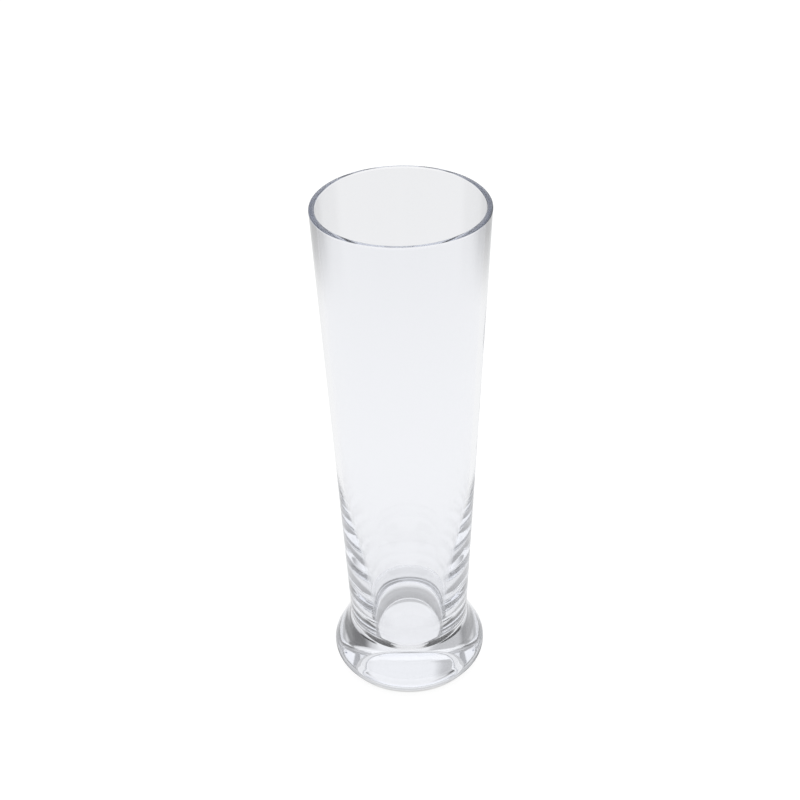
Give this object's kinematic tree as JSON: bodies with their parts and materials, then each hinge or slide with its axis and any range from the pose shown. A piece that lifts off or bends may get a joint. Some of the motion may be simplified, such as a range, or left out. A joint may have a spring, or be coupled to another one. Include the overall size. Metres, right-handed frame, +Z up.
{
  "type": "collins glass",
  "caption": "Tall clear drinking glass: a flared conical bowl with a thick heel, on a solid bulging round foot with a deep crease above it.",
  "frame": {"origin": "centre of the bearing ring, on the surface that the glass stands on", "axes": "+Z up along the axis of the glass; the glass is round, so X and Y are any two level directions"},
  "size_m": [0.07, 0.07, 0.222],
  "materials": {
    "clear_glass": "fire-polished, smooth and clear, with a faint cool tint where the glass is thick"
  },
  "bodies": {
    "root": {"bowl": "clear_glass", "foot": "clear_glass"}
  },
  "joints": []
}
